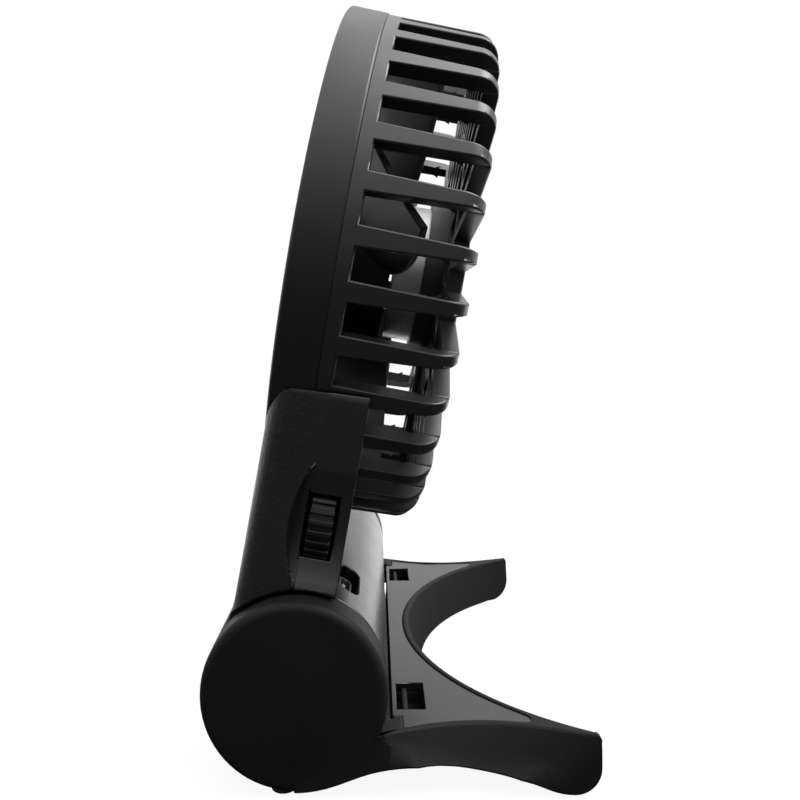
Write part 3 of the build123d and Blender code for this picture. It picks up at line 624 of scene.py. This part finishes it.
def even_round(bm):
    """Turn the thin triangles of the ring's front round until they follow it evenly."""
    bmesh.ops.triangulate(bm, faces=nose_faces(bm))
    skin = nose_faces(bm)
    inner = {edge for face in skin for edge in face.edges if all(on_nose(f) for f in edge.link_faces)}
    turned = [edge for edge in bm.edges if edge in inner and in_a_round(edge)]
    bmesh.ops.beautify_fill(bm, faces=skin, edges=turned, method="ANGLE")


# %% [markdown]
# ## A round for every outer piece
#
# One width for all would look wrong. The ring, the arm's cover and the foot, which a hand takes hold of, have
# the widest rounds, while the socket's sheet metal and the thin cover plate have hardly any. So each kind of
# piece has a width of its own, and the rounds that are seen best get one step more.

# %% Pieces with rounded edges
FEW_STEPS = 2
MORE_STEPS = 3
PLATE_ROUND = 0.15 * MM
COVER_ROUND = 0.4 * MM
REAR_SHELL_ROUND = 0.3 * MM
RING_ROUND = 0.5 * MM
GRILLE_ROUND = 0.25 * MM
BLADE_ROUND = 0.3 * MM
DIAL_ROUND = 0.2 * MM
SOCKET_ROUND = 0.1 * MM
PAD_ROUND = 0.2 * MM
foot_rules = {"share_of": long_share, "cleared": behind_ears, "reshape": soften_flanks, "soft": within_flank}
dressed = [
    rounded("rounded_foot", "foot_base", FOOT_ROUND, MORE_STEPS, **foot_rules),
    rounded("rounded_plate", "foot_top_plate", PLATE_ROUND, FEW_STEPS),
    rounded("rounded_front_shell", "arm_front_shell", COVER_ROUND, MORE_STEPS, shell_share),
    rounded("rounded_rear_shell", "arm_rear_shell", REAR_SHELL_ROUND, MORE_STEPS, shell_share),
    rounded("rounded_ring", "front_ring", RING_ROUND, MORE_STEPS, reshape=even_round, soft=in_a_round),
    rounded("rounded_grille", "front_grille", GRILLE_ROUND, FEW_STEPS),
    rounded("rounded_impeller", "impeller", BLADE_ROUND, FEW_STEPS),
    rounded("rounded_dial", "speed_dial", DIAL_ROUND, FEW_STEPS),
    rounded("rounded_socket", "power_socket", SOCKET_ROUND, FEW_STEPS),
    rounded("rounded_drum_pads", "drum_pads", PAD_ROUND, FEW_STEPS),
    rounded("rounded_toe_pads", "toe_pads", PAD_ROUND, FEW_STEPS),
]
print("rounded", len(dressed), "pieces")

# %% [markdown]
# ## The basket
#
# The rear basket is one moulding of many thin ribs, parted here into its wall and its rear face. Its rounds
# are on the outside only, where light runs along them, and both parts have the same width, so that a round
# runs on over each rib's bend. Inside, behind the slots, the edges stay sharp and dark.

# %% Basket with rounded ribs
WALL_OUTSIDE = 53.4 * MM
FACE_OUTSIDE = 1.0 * MM
RIB_ROUND = 0.35 * MM


def outside_share(edge):
    """The round for edges on the basket's outside; none inside or where it touches its neighbours."""
    middle = (edge.verts[0].co + edge.verts[1].co) / 2
    outside = off_axis(middle) > WALL_OUTSIDE or along_head(middle) > parting + FACE_OUTSIDE
    return 1.0 if outside and not lies_in(edge, seam, parting) else 0.0


for half in ("basket_band", "basket_face"):
    dressed.append(rounded("rounded_" + half, half, RIB_ROUND, MORE_STEPS, outside_share))
for piece in dressed:
    print(piece.name, len(piece.data.polygons), "faces before rounding")
